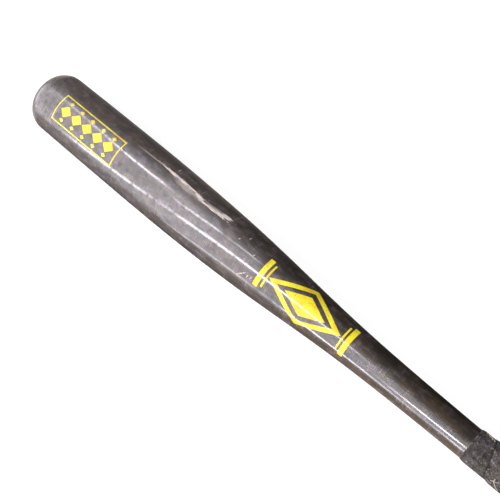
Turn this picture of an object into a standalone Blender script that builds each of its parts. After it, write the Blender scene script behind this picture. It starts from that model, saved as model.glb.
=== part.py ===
"""Wooden baseball bat with a cloth-taped grip.

Run with: blender --background --python part.py

The bat lies along X. The origin is the centre of the knob's end face, +X points out of that
face and the barrel lies towards -X, with +Z up. Lengths are in metres.

A turner works from a template: a list of places along the billet, each with its diameter. The
template below is written as runs from one place to the next, starting at the barrel end. Bats
of one model come in several lengths, and the handle takes up the difference, so its run down
to the waist is what the others leave of the whole length. A distance called s is measured
from the barrel end, and along_x() turns it into X.
"""

import math

import bmesh
import bpy
import numpy as np

BAT_LENGTH = 0.838

# Barrel end: a hollow cup in the end grain, a rounded lip, then the crown up to full diameter
CUP_DIAMETER = 0.030
CUP_DEPTH = 0.020
LIP_RADIUS = 0.002
CROWN_RUN = 0.0175
CROWN_DIAMETER = 0.0653

# Runs and diameters of the template from the crown to the neck of the knob
BARREL_RUN = 0.1125
BARREL_DIAMETER = 0.0650
SHOULDER_RUN = 0.105
SHOULDER_DIAMETER = 0.0616
TAPER_RUN = 0.085
TAPER_DIAMETER = 0.0522
THROAT_RUN = 0.080
THROAT_DIAMETER = 0.0391
KNEE_RUN = 0.070
KNEE_DIAMETER = 0.0324
HANDLE_RUN = 0.080
HANDLE_DIAMETER = 0.0292
WAIST_DIAMETER = 0.0247
NECK_RUN = 0.057
NECK_DIAMETER = 0.0264

# Knob: the flare sweeps up from the neck to a rounded rim, which ends in a shallow dome
FLARE_RUN = 0.029
KNOB_DIAMETER = 0.0508
RIM_THICKNESS = 0.0158
RIM_ROUNDING = 0.0068
DOME_HEIGHT = 0.0012
END_FACE_DIAMETER = 0.022

# Grip: cloth tape from one roll, an anchor band under the top and a long strip wound down over it
TAPE_WIDTH = 0.038
TAPE_THICKNESS = 0.0006
TAPE_SEAT = 0.0003
GRIP_TOP_FROM_KNOB = 0.290
GRIP_END_FROM_KNOB = 0.047
ANCHOR_JOINT_GAP = 0.0008
ANCHOR_JOINT_ANGLE = math.radians(270)
STRIP_OVERLAP = 0.012
STRIP_SETBACK = 0.0068
STRIP_START_ANGLE = math.radians(-60)
STRIP_TAIL_WIDTH = 0.012

# Where a turn comes down off the edge of the tape below it: how far past, and how long a slope
STEP_MARGIN = 0.0015
STEP_SLOPE = 0.0025

# How finely the round shapes are faceted
BAT_FACETS = 40
TEMPLATE_SPACING = 0.024
ARC_STEPS = 7
LIP_STEPS = 3
DOME_STEPS = 3
TAPE_STEPS_PER_TURN = 32
LEAST_SPACING = 0.0004
SHARP_CORNER = math.radians(40)

QUARTER_TURN = math.pi / 2
HALF_TURN = math.pi
FULL_TURN = 2 * math.pi

RUNS_BEFORE_WAIST = CROWN_RUN + BARREL_RUN + SHOULDER_RUN + TAPER_RUN + THROAT_RUN + KNEE_RUN + HANDLE_RUN
KNOB_RUN = FLARE_RUN + RIM_THICKNESS + DOME_HEIGHT
WAIST_RUN = BAT_LENGTH - RUNS_BEFORE_WAIST - NECK_RUN - KNOB_RUN
TEMPLATE = [
    (CROWN_RUN, CROWN_DIAMETER),
    (BARREL_RUN, BARREL_DIAMETER),
    (SHOULDER_RUN, SHOULDER_DIAMETER),
    (TAPER_RUN, TAPER_DIAMETER),
    (THROAT_RUN, THROAT_DIAMETER),
    (KNEE_RUN, KNEE_DIAMETER),
    (HANDLE_RUN, HANDLE_DIAMETER),
    (WAIST_RUN, WAIST_DIAMETER),
    (NECK_RUN, NECK_DIAMETER),
]
STATION_S = np.cumsum([run for run, diameter in TEMPLATE])
STATION_R = np.array([diameter / 2 for run, diameter in TEMPLATE])
NECK_S = STATION_S[-1]
FLARE_TOP_R = KNOB_DIAMETER / 2 - RIM_ROUNDING

GRIP_TOP_S = BAT_LENGTH - GRIP_TOP_FROM_KNOB
GRIP_END_S = BAT_LENGTH - GRIP_END_FROM_KNOB
ANCHOR_END_S = GRIP_TOP_S + TAPE_WIDTH
STRIP_START_S = GRIP_TOP_S + STRIP_SETBACK
STRIP_PITCH = TAPE_WIDTH - STRIP_OVERLAP
LAYER_LIFT = TAPE_THICKNESS + TAPE_SEAT


def along_x(s):
    """The X of a place at distance s from the barrel end."""
    return s - BAT_LENGTH


def spline_slopes(places, values):
    """Slopes at each station of the cubic that bends smoothly through them all, level at the crown."""
    count = len(places)
    gaps = np.diff(places)
    rises = np.diff(values) / gaps
    system = np.zeros((count, count))
    wanted = np.zeros(count)
    system[0, 0] = 1.0
    system[-1, -2:] = 1.0, 2.0
    wanted[-1] = 3.0 * rises[-1]
    for i in range(1, count - 1):
        system[i, i - 1] = gaps[i]
        system[i, i] = 2.0 * (gaps[i - 1] + gaps[i])
        system[i, i + 1] = gaps[i - 1]
        wanted[i] = 3.0 * (gaps[i] * rises[i - 1] + gaps[i - 1] * rises[i])
    return np.linalg.solve(system, wanted)


STATION_SLOPES = spline_slopes(STATION_S, STATION_R)


def flare_radius(s):
    """Radius of the wood where the handle sweeps up to the knob: a quarter of an ellipse."""
    rise = FLARE_TOP_R - NECK_DIAMETER / 2
    share = min(1.0, (s - NECK_S) / FLARE_RUN)
    return NECK_DIAMETER / 2 + rise * (1.0 - math.sqrt(1.0 - share * share))


def wood_radius(s):
    """Radius of the turned wood at distance s from the barrel end, from the crown to the knob."""
    if s > NECK_S:
        return flare_radius(s)
    i = int(np.clip(np.searchsorted(STATION_S, s) - 1, 0, len(STATION_S) - 2))
    gap = STATION_S[i + 1] - STATION_S[i]
    t = (s - STATION_S[i]) / gap
    from_left = STATION_R[i] * (1 + 2 * t) * (1 - t) ** 2 + STATION_SLOPES[i] * gap * t * (1 - t) ** 2
    from_right = STATION_R[i + 1] * t * t * (3 - 2 * t) + STATION_SLOPES[i + 1] * gap * t * t * (t - 1)
    return from_left + from_right


def ellipse_arc(centre_s, centre_r, half_s, half_r, start, end, steps):
    """Points (s, r) along part of an ellipse; angle 0 points to the barrel end, 90 degrees outwards."""
    angles = np.linspace(start, end, steps + 1)
    return [(centre_s - half_s * math.cos(a), centre_r + half_r * math.sin(a)) for a in angles]


def barrel_end_outline():
    """From the bottom of the cup, out over the lip and up the crown."""
    cup_r = CUP_DIAMETER / 2
    lip_r = cup_r + LIP_RADIUS
    rise = CROWN_DIAMETER / 2 - lip_r
    cup = ellipse_arc(LIP_RADIUS, 0.0, LIP_RADIUS - CUP_DEPTH, cup_r, 0.0, QUARTER_TURN, ARC_STEPS)
    lip = ellipse_arc(LIP_RADIUS, lip_r, LIP_RADIUS, -LIP_RADIUS, QUARTER_TURN, 0.0, LIP_STEPS)
    crown = ellipse_arc(CROWN_RUN, lip_r, CROWN_RUN, rise, 0.0, QUARTER_TURN, ARC_STEPS)
    return cup + lip[1:] + crown[1:]


def turned_outline():
    """From the crown along the barrel, taper and handle to the neck of the knob."""
    steps = math.ceil((NECK_S - CROWN_RUN) / TEMPLATE_SPACING)
    places = np.linspace(CROWN_RUN, NECK_S, steps + 1)
    return [(s, wood_radius(s)) for s in places]


def knob_outline():
    """The flare, the rounded rim and the shallow dome down to the flat of the end face."""
    flare_places = [NECK_S + FLARE_RUN * math.sin(a) for a in np.linspace(0.0, QUARTER_TURN, ARC_STEPS + 1)]
    flare = [(s, flare_radius(s)) for s in flare_places]
    half_rim = RIM_THICKNESS / 2
    rim_s = NECK_S + FLARE_RUN + half_rim
    rim = ellipse_arc(rim_s, FLARE_TOP_R, half_rim, RIM_ROUNDING, 0.0, HALF_TURN, 2 * ARC_STEPS)
    flat_r = END_FACE_DIAMETER / 2
    shares = np.linspace(1.0, 0.0, DOME_STEPS + 1)
    dome = [(BAT_LENGTH - DOME_HEIGHT * out**2, flat_r + (FLARE_TOP_R - flat_r) * out) for out in shares]
    return flare + rim[1:] + dome[1:] + [(BAT_LENGTH, 0.0)]


def principled(name, colour, roughness):
    material = bpy.data.materials.new(name)
    material.use_nodes = True
    shader = material.node_tree.nodes["Principled BSDF"]
    shader.inputs["Base Color"].default_value = (*colour, 1.0)
    shader.inputs["Roughness"].default_value = roughness
    shader.inputs["Metallic"].default_value = 0.0
    material.diffuse_color = (*colour, 1.0)
    return material


def new_object(name, mesh_builder, material):
    """An object in the scene whose mesh is what mesh_builder leaves in an empty bmesh."""
    mesh = bpy.data.meshes.new(name)
    bm = bmesh.new()
    mesh_builder(bm)
    bm.to_mesh(mesh)
    bm.free()
    mesh.materials.append(material)
    mesh.shade_smooth()
    mesh.set_sharp_from_angle(angle=SHARP_CORNER)
    obj = bpy.data.objects.new(name, mesh)
    bpy.context.scene.collection.objects.link(obj)
    return obj


def turn_billet(bm):
    """Spins the outline round X. Half a facet of offset puts a flat facet straight down."""
    outline = barrel_end_outline() + turned_outline()[1:] + knob_outline()[1:]
    offset = HALF_TURN / BAT_FACETS
    verts = [bm.verts.new((along_x(s), r * math.cos(offset), r * math.sin(offset))) for s, r in outline]
    edges = [bm.edges.new(pair) for pair in zip(verts, verts[1:])]
    bmesh.ops.spin(
        bm,
        geom=verts + edges,
        cent=(0, 0, 0),
        axis=(1, 0, 0),
        angle=FULL_TURN,
        steps=BAT_FACETS,
        use_merge=True,
    )
    bmesh.ops.remove_doubles(bm, verts=bm.verts, dist=1e-6)
    bmesh.ops.recalc_face_normals(bm, faces=bm.faces)


def tape_point(s, angle, lift):
    """A point on a tape's underside, lifted this far off its seat by the tape below it."""
    r = wood_radius(s) + TAPE_SEAT + lift
    return (along_x(s), r * math.cos(angle), r * math.sin(angle))


def lay_ribbon(bm, columns):
    """The faces of a tape's underside. Each column is a list of (s, angle, lift) across the tape."""
    rows = [[bm.verts.new(tape_point(*spot)) for spot in column] for column in columns]
    for here, after in zip(rows, rows[1:]):
        for k in range(len(here) - 1):
            bm.faces.new((here[k], after[k], after[k + 1], here[k + 1]))


def wind_anchor(bm):
    """One straight turn at the top of the grip, its two ends meeting underneath."""
    half_gap = ANCHOR_JOINT_GAP / 2 / wood_radius(GRIP_TOP_S)
    first = ANCHOR_JOINT_ANGLE + half_gap
    last = ANCHOR_JOINT_ANGLE + FULL_TURN - half_gap
    across = (GRIP_TOP_S, (GRIP_TOP_S + ANCHOR_END_S) / 2, ANCHOR_END_S)
    angles = np.linspace(first, last, TAPE_STEPS_PER_TURN + 1)
    lay_ribbon(bm, [[(s, a, 0.0) for s in across] for a in angles])


def strip_edges(step):
    """The two edges of the strip at one step of its winding. It is trimmed straight at the knob."""
    upper = STRIP_START_S + STRIP_PITCH * step / TAPE_STEPS_PER_TURN
    return upper, min(upper + TAPE_WIDTH, GRIP_END_S)


def is_first_turn(step):
    """The first turn has only the anchor band below it, until just before it reaches its own start."""
    return step < TAPE_STEPS_PER_TURN - 1


def edge_below(step):
    """The lower edge of the tape that the strip lies on and steps down from."""
    if is_first_turn(step):
        return ANCHOR_END_S
    return strip_edges(step - TAPE_STEPS_PER_TURN)[1]


def carried(s, edge):
    """1 where tape ending at this edge carries the next layer, down a short slope to 0 past it."""
    return float(np.clip((edge + STEP_MARGIN + STEP_SLOPE - s) / STEP_SLOPE, 0.0, 1.0))


def strip_lift(step, s):
    """How far all the tape below lifts the strip at s: the anchor band, and the turn before."""
    lift = LAYER_LIFT * carried(s, ANCHOR_END_S)
    if is_first_turn(step):
        return lift
    on_turn_before = strip_lift(step - TAPE_STEPS_PER_TURN, s) + LAYER_LIFT
    return lift + (on_turn_before - lift) * carried(s, edge_below(step))


def strip_column(step):
    """Places across the strip at one step: its edges, and where it steps off the tape below."""
    upper, lower = strip_edges(step)
    slope_top = edge_below(step) + STEP_MARGIN
    slope_foot = slope_top + STEP_SLOPE
    places = [upper, (upper + slope_top) / 2, slope_top, slope_foot, lower]
    last = len(places) - 1
    for k in range(1, last):
        places[k] = float(np.clip(places[k], upper + k * LEAST_SPACING, lower - (last - k) * LEAST_SPACING))
    angle = STRIP_START_ANGLE + FULL_TURN * step / TAPE_STEPS_PER_TURN
    return [(s, angle, strip_lift(step, s)) for s in places]


def wind_strip(bm):
    """The long strip, wound from the anchor down to the knob, each turn lapping the last."""
    travel = GRIP_END_S - STRIP_TAIL_WIDTH - STRIP_START_S
    steps = math.floor(travel / STRIP_PITCH * TAPE_STEPS_PER_TURN)
    lay_ribbon(bm, [strip_column(step) for step in range(steps + 1)])


def thicken(tape):
    """Gives a ribbon its thickness, outwards from the wood."""
    solidify = tape.modifiers.new("thickness", "SOLIDIFY")
    solidify.thickness = TAPE_THICKNESS
    solidify.offset = 1.0


def make_bat_body():
    lacquered_maple = principled("lacquered_maple", (0.030, 0.027, 0.027), 0.22)
    new_object("bat_body", turn_billet, lacquered_maple)


def make_grip():
    cloth_tape = principled("black_cloth_tape", (0.055, 0.052, 0.052), 0.85)
    thicken(new_object("grip_anchor_band", wind_anchor, cloth_tape))
    thicken(new_object("grip_tape", wind_strip, cloth_tape))


def main():
    for obj in list(bpy.data.objects):
        bpy.data.objects.remove(obj)
    make_bat_body()
    make_grip()


main()
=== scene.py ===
# %% [markdown]
# # A maple baseball bat with a taped handle
#
# A wooden bat is turned on a lathe from one billet of maple, stained near black, lacquered, printed with
# yellow ink, and taped round the handle by its player. This lesson dresses the plain solids of the packed
# part: it loads them, models each visible piece again in finer detail on top of them, gives each its real
# finish, and lights the bat in a small white studio. The bat lies along X with the knob's end face at the
# origin and the barrel towards -X. Lengths are in metres.

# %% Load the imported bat
import math
import random

import bpy
import numpy as np
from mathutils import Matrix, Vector, noise


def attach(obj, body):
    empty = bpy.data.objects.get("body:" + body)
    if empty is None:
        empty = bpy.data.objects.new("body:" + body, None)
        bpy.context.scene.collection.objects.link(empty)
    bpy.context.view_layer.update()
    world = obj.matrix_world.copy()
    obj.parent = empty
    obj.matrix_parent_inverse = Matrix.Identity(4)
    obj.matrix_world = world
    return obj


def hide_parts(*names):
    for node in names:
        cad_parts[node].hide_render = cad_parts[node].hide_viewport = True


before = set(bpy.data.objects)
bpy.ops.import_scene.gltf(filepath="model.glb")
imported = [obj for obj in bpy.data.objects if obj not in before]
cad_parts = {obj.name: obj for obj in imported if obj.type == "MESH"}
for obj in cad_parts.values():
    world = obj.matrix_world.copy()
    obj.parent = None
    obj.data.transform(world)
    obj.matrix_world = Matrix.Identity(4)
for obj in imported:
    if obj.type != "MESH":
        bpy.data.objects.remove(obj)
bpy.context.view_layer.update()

# %% [markdown]
# ## The camera
#
# The picture was taken from above the start of the tape, about 0.7 m away, and looks towards the barrel,
# which runs off with a clear perspective. The camera is placed as a photographer would say it: where it
# stands, how far round the bat that is, and how high.

# %% Place the camera
LENS_MM = 57.6
SENSOR_MM = 36.0
CAMERA_PLACE = Vector((-0.2669, -0.2812, 0.6327))
AZIMUTH = math.radians(44.264)
ELEVATION = math.radians(57.396)
FARTHEST_SEEN = 50.0


def direction(azimuth, elevation):
    """The unit vector from the bat towards a place round it, azimuth 0 being the -Y side."""
    flat = math.cos(elevation)
    return Vector((math.sin(azimuth) * flat, -math.cos(azimuth) * flat, math.sin(elevation)))


camera = bpy.data.objects.new("camera", bpy.data.cameras.new("camera"))
bpy.context.scene.collection.objects.link(camera)
bpy.context.scene.camera = camera
bpy.context.scene.view_settings.view_transform = "Standard"
camera.data.lens = LENS_MM
camera.data.sensor_width = SENSOR_MM
camera.data.sensor_fit = "HORIZONTAL"
camera.data.clip_end = FARTHEST_SEEN
camera.location = CAMERA_PLACE
camera.rotation_euler = (-direction(AZIMUTH, ELEVATION)).to_track_quat("-Z", "Y").to_euler()
print("camera at", tuple(round(v, 4) for v in camera.location))

# %% [markdown]
# ## The turner's template
#
# A turner copies a template: the diameter of the bat at a few places, joined by one fair curve. These are
# the places of the solid model, repeated here because this file can't read its source. A distance s is
# measured from the barrel end. The finer bat below follows the same curve, so it covers the solid exactly.

# %% Write the template
BAT_LENGTH = 0.838
CUP_RADIUS = 0.015
CUP_DEPTH = 0.020
LIP_RADIUS = 0.002
CROWN_RUN = 0.0175
STATION_S = np.array([0.0175, 0.130, 0.235, 0.320, 0.400, 0.470, 0.550, 0.735, 0.792])
STATION_R = np.array([0.0653, 0.0650, 0.0616, 0.0522, 0.0391, 0.0324, 0.0292, 0.0247, 0.0264]) / 2
NECK_S = STATION_S[-1]
FLARE_RUN = 0.029
KNOB_RADIUS = 0.0254
RIM_THICKNESS = 0.0158
RIM_ROUNDING = 0.0068
DOME_HEIGHT = 0.0012
END_FACE_RADIUS = 0.011
FLARE_TOP_R = KNOB_RADIUS - RIM_ROUNDING
HALF_PI = math.pi / 2


def spline_slopes(places, values):
    """Slopes at the stations of the cubic that bends smoothly through them, level at the crown."""
    gaps = np.diff(places)
    rises = np.diff(values) / gaps
    count = len(places)
    system = np.zeros((count, count))
    wanted = np.zeros(count)
    system[0, 0] = 1.0
    system[-1, -2:] = 1.0, 2.0
    wanted[-1] = 3.0 * rises[-1]
    for i in range(1, count - 1):
        system[i, i - 1 : i + 2] = gaps[i], 2.0 * (gaps[i - 1] + gaps[i]), gaps[i - 1]
        wanted[i] = 3.0 * (gaps[i] * rises[i - 1] + gaps[i - 1] * rises[i])
    return np.linalg.solve(system, wanted)


STATION_SLOPES = spline_slopes(STATION_S, STATION_R)


def wood_radius(s):
    """Radius of the turned wood at distance s from the barrel end, from the crown to the knob."""
    if s > NECK_S:
        share = min(1.0, (s - NECK_S) / FLARE_RUN)
        return STATION_R[-1] + (FLARE_TOP_R - STATION_R[-1]) * (1.0 - math.sqrt(1.0 - share * share))
    i = int(np.clip(np.searchsorted(STATION_S, s) - 1, 0, len(STATION_S) - 2))
    gap = STATION_S[i + 1] - STATION_S[i]
    t = (s - STATION_S[i]) / gap
    left = STATION_R[i] * (1 + 2 * t) * (1 - t) ** 2 + STATION_SLOPES[i] * gap * t * (1 - t) ** 2
    right = STATION_R[i + 1] * t * t * (3 - 2 * t) + STATION_SLOPES[i + 1] * gap * t * t * (t - 1)
    return left + right


def arc(centre_s, centre_r, half_s, half_r, start, end, steps):
    """Points (s, r) on part of an ellipse; angle 0 points to the barrel end, a quarter turn outwards."""
    angles = np.linspace(start, end, steps + 1)
    return [(centre_s - half_s * math.cos(a), centre_r + half_r * math.sin(a)) for a in angles]


print("template diameters in mm:", [round(2000 * wood_radius(s), 1) for s in (0.06, 0.2, 0.3, 0.4, 0.5, 0.7)])

# %% [markdown]
# ## Small helpers
#
# Blender's operators act on whatever is selected, and the loaded solids come in selected, so every piece
# starts from an empty selection. A finished piece sits at the origin with its place in its mesh.

# %% Helpers for modelling
# The side that faces the camera leans this far from straight up towards -Y
FACING = math.radians(24.61)


def select_only(pieces):
    """Selects these pieces and nothing else, the first of them active."""
    bpy.ops.object.select_all(action="DESELECT")
    for piece in pieces:
        piece.select_set(True)
    bpy.context.view_layer.objects.active = pieces[0]


def start_from(add_primitive, name, **given):
    """Adds a primitive with nothing else selected, and names it."""
    bpy.ops.object.select_all(action="DESELECT")
    add_primitive(**given)
    piece = bpy.context.object
    piece.name = name
    piece.data.name = name
    return piece


def finish_modifiers(piece):
    """Applies all of a piece's modifiers, so that its mesh is final."""
    for modifier in list(piece.modifiers):
        bpy.ops.object.modifier_apply(modifier=modifier.name)


def rolled(x, theta, radius):
    """A point round the bat's axis. Theta is measured from the camera's side, positive upwards."""
    lean = theta - FACING
    return (x, radius * math.sin(lean), radius * math.cos(lean))


def triangle_count(piece):
    """How many triangles a piece has."""
    return sum(len(face.vertices) - 2 for face in piece.data.polygons)


print("towards the camera's side:", tuple(round(v, 3) for v in rolled(0.0, 0.0, 1.0)))

# %% [markdown]
# ## The turned bat
#
# On the lathe the outline is cut from one end to the other while the wood spins. It could be lofted from
# circles, but drawing the outline point by point with extrude and spinning it about X is what the lathe
# does, and gives one closed skin: cup, lip, crown, barrel, taper, handle and knob.

# %% Draw the outline
OUTLINE_STEP = 0.0042
ARC_STEPS = {"cup": 24, "lip": 12, "crown": 40, "flare": 24, "rim": 36, "dome": 8}


def whole_outline():
    """(s, r) from the bottom of the cup round the barrel end, down the bat and over the knob."""
    lip_r = CUP_RADIUS + LIP_RADIUS
    cup = arc(LIP_RADIUS, 0.0, LIP_RADIUS - CUP_DEPTH, CUP_RADIUS, 0.0, HALF_PI, ARC_STEPS["cup"])
    lip = arc(LIP_RADIUS, lip_r, LIP_RADIUS, -LIP_RADIUS, HALF_PI, 0.0, ARC_STEPS["lip"])
    crown = arc(CROWN_RUN, lip_r, CROWN_RUN, STATION_R[0] - lip_r, 0.0, HALF_PI, ARC_STEPS["crown"])
    places = np.linspace(CROWN_RUN, NECK_S, round((NECK_S - CROWN_RUN) / OUTLINE_STEP) + 1)
    turned = [(s, wood_radius(s)) for s in places]
    flare_angles = np.linspace(0.0, HALF_PI, ARC_STEPS["flare"] + 1)
    flare = [(s, wood_radius(s)) for s in NECK_S + FLARE_RUN * np.sin(flare_angles)]
    half_rim = RIM_THICKNESS / 2
    rim_s = NECK_S + FLARE_RUN + half_rim
    rim = arc(rim_s, FLARE_TOP_R, half_rim, RIM_ROUNDING, 0.0, math.pi, ARC_STEPS["rim"])
    shares = np.linspace(1.0, 0.0, ARC_STEPS["dome"] + 1)
    reach = FLARE_TOP_R - END_FACE_RADIUS
    dome = [(BAT_LENGTH - DOME_HEIGHT * out**2, END_FACE_RADIUS + reach * out) for out in shares]
    return cup + lip[1:] + crown[1:] + turned[1:] + flare[1:] + rim[1:] + dome[1:] + [(BAT_LENGTH, 0.0)]


outline = [Vector((s - BAT_LENGTH, r, 0.0)) for s, r in whole_outline()]
bat = start_from(bpy.ops.mesh.primitive_plane_add, "turned_bat", size=0.01)
bpy.ops.object.mode_set(mode="EDIT")
bpy.ops.mesh.merge(type="CENTER")
bpy.ops.transform.translate(value=outline[0])
for here, after in zip(outline, outline[1:]):
    bpy.ops.mesh.extrude_region_move(TRANSFORM_OT_translate={"value": after - here})
print("outline points:", len(outline))

# %% Spin the outline into the bat
SPIN_STEPS = 180
MERGE_DISTANCE = 2e-6
bpy.ops.mesh.select_all(action="SELECT")
bpy.ops.mesh.spin(steps=SPIN_STEPS, angle=2 * math.pi, center=(0, 0, 0), axis=(1, 0, 0))
bpy.ops.mesh.select_all(action="SELECT")
bpy.ops.mesh.remove_doubles(threshold=MERGE_DISTANCE)
bpy.ops.mesh.normals_make_consistent(inside=False)
bpy.ops.object.mode_set(mode="OBJECT")
bpy.ops.object.shade_smooth_by_angle(angle=math.radians(40))
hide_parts("bat_body")
print("turned bat:", triangle_count(bat), "triangles, size", tuple(round(v, 4) for v in bat.dimensions))

# %% [markdown]
# ## The tape
#
# A player winds the grip from one roll of woven cotton tape: first a straight turn that anchors the top,
# then a long strip that spirals down to the knob, each turn lapping the one before. A bent curve with a
# profile would give the shape, but cloth climbs over what lies below it, so here a flat grid is wound: each
# of its points gets its place along the handle, its angle, and the lift that the layers below give it.

# %% Write the tape's sizes
TAPE_WIDTH = 0.038
TAPE_THICKNESS = 0.0006
TAPE_SEAT = 0.0003
LAYER_LIFT = TAPE_THICKNESS + TAPE_SEAT
GRIP_TOP_S = BAT_LENGTH - 0.290
GRIP_END_S = BAT_LENGTH - 0.047
ANCHOR_END_S = GRIP_TOP_S + TAPE_WIDTH
ANCHOR_START = math.radians(270)
ANCHOR_GAP = 0.027
STRIP_START_S = GRIP_TOP_S + 0.0068
STRIP_PITCH = 0.026
STRIP_START = math.radians(-60)
LAST_EDGE_S = GRIP_END_S - 0.012
STRIP_TURNS = (LAST_EDGE_S - STRIP_START_S) / STRIP_PITCH
print("turns:", round(STRIP_TURNS, 2), "lapped by", round(1000 * (TAPE_WIDTH - STRIP_PITCH)), "mm")

# %% Find where the layers climb
STEP_MARGIN = 0.0015
STEP_SLOPE = 0.0025
# From just before a whole turn on, the strip lies on its own turn before
FIRST_LAP = 0.97


def strip_edges(turns):
    """The strip's two edges after so many turns. It is trimmed straight at the knob."""
    upper = STRIP_START_S + STRIP_PITCH * turns
    return upper, min(upper + TAPE_WIDTH, GRIP_END_S)


def carried(s, edge):
    """1 where tape that ends at this edge carries the next layer, down a short slope to 0 past it."""
    return min(1.0, max(0.0, (edge + STEP_MARGIN + STEP_SLOPE - s) / STEP_SLOPE))


def strip_lift(turns, s):
    """How far the anchor and the turn before lift the strip at s."""
    lift = LAYER_LIFT * carried(s, ANCHOR_END_S)
    if turns < FIRST_LAP:
        return lift
    on_turn_before = strip_lift(turns - 1, s) + LAYER_LIFT
    return lift + (on_turn_before - lift) * carried(s, strip_edges(turns - 1)[1])


def lap_above(angle):
    """How many turns the strip has made where its first edge crosses the anchor band at this angle."""
    return ((angle - STRIP_START) / (2 * math.pi)) % 1.0


first_lap_s = strip_edges(1.0)[0]
print("lift in mm where the strip first laps itself:", round(1000 * strip_lift(1.0, first_lap_s), 2))

# %% Make it cloth
BROAD_PUCKER = 0.0105
SMALL_PUCKER = 0.0033
BROAD_SWELL = 0.00032
SMALL_SWELL = 0.00012
EDGE_WAVES_PER_TURN = 9
PULLS_PER_WAVE = 5
EDGE_WANDER = 0.00045
EDGE_PULL = 0.0004
THUMBED_FLAT = 0.35
PRESSED_RUN = 0.003


def puckers(s, angle):
    """Cloth never lies quite flat: a shallow swell that all the layers at one place share."""
    x = s - BAT_LENGTH
    r = wood_radius(s)
    place = Vector((x, r * math.cos(angle), r * math.sin(angle)))
    broad = 0.5 + 0.5 * noise.noise(place / BROAD_PUCKER)
    small = 0.5 + 0.5 * noise.noise(place / SMALL_PUCKER + Vector((5, 0, 0)))
    return BROAD_SWELL * broad + SMALL_SWELL * small


def worn_edge(turns, seed):
    """How far the cut edge of the cloth wanders along the handle as its threads have pulled."""
    here = Vector((turns * EDGE_WAVES_PER_TURN, seed, 0))
    return EDGE_WANDER * noise.noise(here) + EDGE_PULL * noise.noise(here * PULLS_PER_WAVE)


def pressed(run):
    """How much body the tape has at this distance from a cut edge: thumbed flat there, full 3 mm in."""
    return THUMBED_FLAT + (1 - THUMBED_FLAT) * min(1.0, run / PRESSED_RUN)


def tape_point(s, angle, lift, body):
    """A point on a tape's underside."""
    r = wood_radius(s) + TAPE_SEAT * body + lift + puckers(s, angle) * body
    return (s - BAT_LENGTH, r * math.cos(angle), r * math.sin(angle))


print("body of the tape at its cut edge and 1 mm in:", pressed(0.0), round(pressed(0.001), 2))

# %% Wind a tape
STEPS_PER_TURN = 96
STEPS_ACROSS = 24
LOWER_EDGE_SEED = 7


def wind(name, turns, angle_at, edges_at, lift_at, lap_at, seed):
    """Lays a flat grid of cloth round the handle and gives it its thickness.

    Two readings are kept for the finish, in mm: how far each point is from its own upper edge, and how far
    from the edge of the layer that laps it.
    """
    steps = {"x_subdivisions": round(turns * STEPS_PER_TURN), "y_subdivisions": STEPS_ACROSS}
    cloth = start_from(bpy.ops.mesh.primitive_grid_add, name, size=2, **steps)
    full_body = cloth.vertex_groups.new(name="full_body")
    readings = {"from_edge": [], "to_lap": []}
    for vertex in cloth.data.vertices:
        done = turns * (vertex.co.x + 1) / 2
        across = (vertex.co.y + 1) / 2
        upper, lower = edges_at(done)
        upper += worn_edge(done, seed)
        lower += worn_edge(done, seed + LOWER_EDGE_SEED)
        s = upper + (lower - upper) * across
        body = pressed(s - upper)
        full_body.add([vertex.index], body, "REPLACE")
        readings["from_edge"].append(1000 * (s - upper))
        readings["to_lap"].append(1000 * (STRIP_START_S + STRIP_PITCH * lap_at(done) - s))
        vertex.co = tape_point(s, angle_at(done), lift_at(done, s), body)
    for reading, values in readings.items():
        cloth.data.attributes.new(reading, "FLOAT", "POINT").data.foreach_set("value", values)
    thickness = cloth.modifiers.new("thickness", "SOLIDIFY")
    thickness.thickness = TAPE_THICKNESS
    thickness.offset = 1.0
    thickness.vertex_group = "full_body"
    finish_modifiers(cloth)
    bpy.ops.object.shade_smooth_by_angle(angle=math.radians(50))
    print(name, triangle_count(cloth), "triangles")
    return cloth


# %% Wind the anchor band
def anchor_angle(turns):
    return ANCHOR_START + ANCHOR_GAP / 2 + (2 * math.pi - ANCHOR_GAP) * turns


def anchor_edges(turns):
    return GRIP_TOP_S, ANCHOR_END_S


def anchor_lap(turns):
    return lap_above(anchor_angle(turns))


anchor = wind("anchor_band", 1.0, anchor_angle, anchor_edges, lambda turns, s: 0.0, anchor_lap, seed=1)
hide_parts("grip_anchor_band")


# %% Wind the long strip
def strip_angle(turns):
    return STRIP_START + 2 * math.pi * turns


def strip_lap(turns):
    return turns + 1


strip = wind("wound_strip", STRIP_TURNS, strip_angle, strip_edges, strip_lift, strip_lap, seed=3)
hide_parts("grip_tape")

# %% [markdown]
# ### Loose ends
#
# Cotton tape frays where it is cut, and pale threads stand up along its edges. Hair could do this, but a few
# dozen short curves with a little thickness show better at this distance and export as plain meshes. One
# thread is drawn, copied with its own mesh, and each copy is bent and laid on the tape.

# %% Draw one thread
THREAD_RADIUS = 0.00016
THREAD_CUTS = (0, -0.8, -0.6, -0.4, -0.2, 0.2, 0.4, 0.6, 0.8)
lying = {"vertices": 5, "radius": THREAD_RADIUS, "depth": 2, "rotation": (0, HALF_PI, 0)}
thread_model = start_from(bpy.ops.mesh.primitive_cylinder_add, "thread_model", **lying)
bpy.ops.object.transform_apply(location=False, rotation=True, scale=False)
bpy.ops.object.mode_set(mode="EDIT")
for cut in THREAD_CUTS:
    bpy.ops.mesh.select_all(action="SELECT")
    bpy.ops.mesh.bisect(plane_co=(cut, 0, 0), plane_no=(1, 0, 0))
bpy.ops.object.mode_set(mode="OBJECT")
print("thread:", triangle_count(thread_model), "triangles")

# %% Bend a copy and lay it on the tape
THREAD_LIFT = 0.0002
ENDS_RAISED = 0.3


def top_of_tape(s, turns):
    """Radius of the outer face of the tape at s, where the strip has made so many turns."""
    r = wood_radius(s) + TAPE_SEAT + TAPE_THICKNESS
    if s > strip_edges(turns)[0]:
        r += strip_lift(turns, s)
    return r


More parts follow.
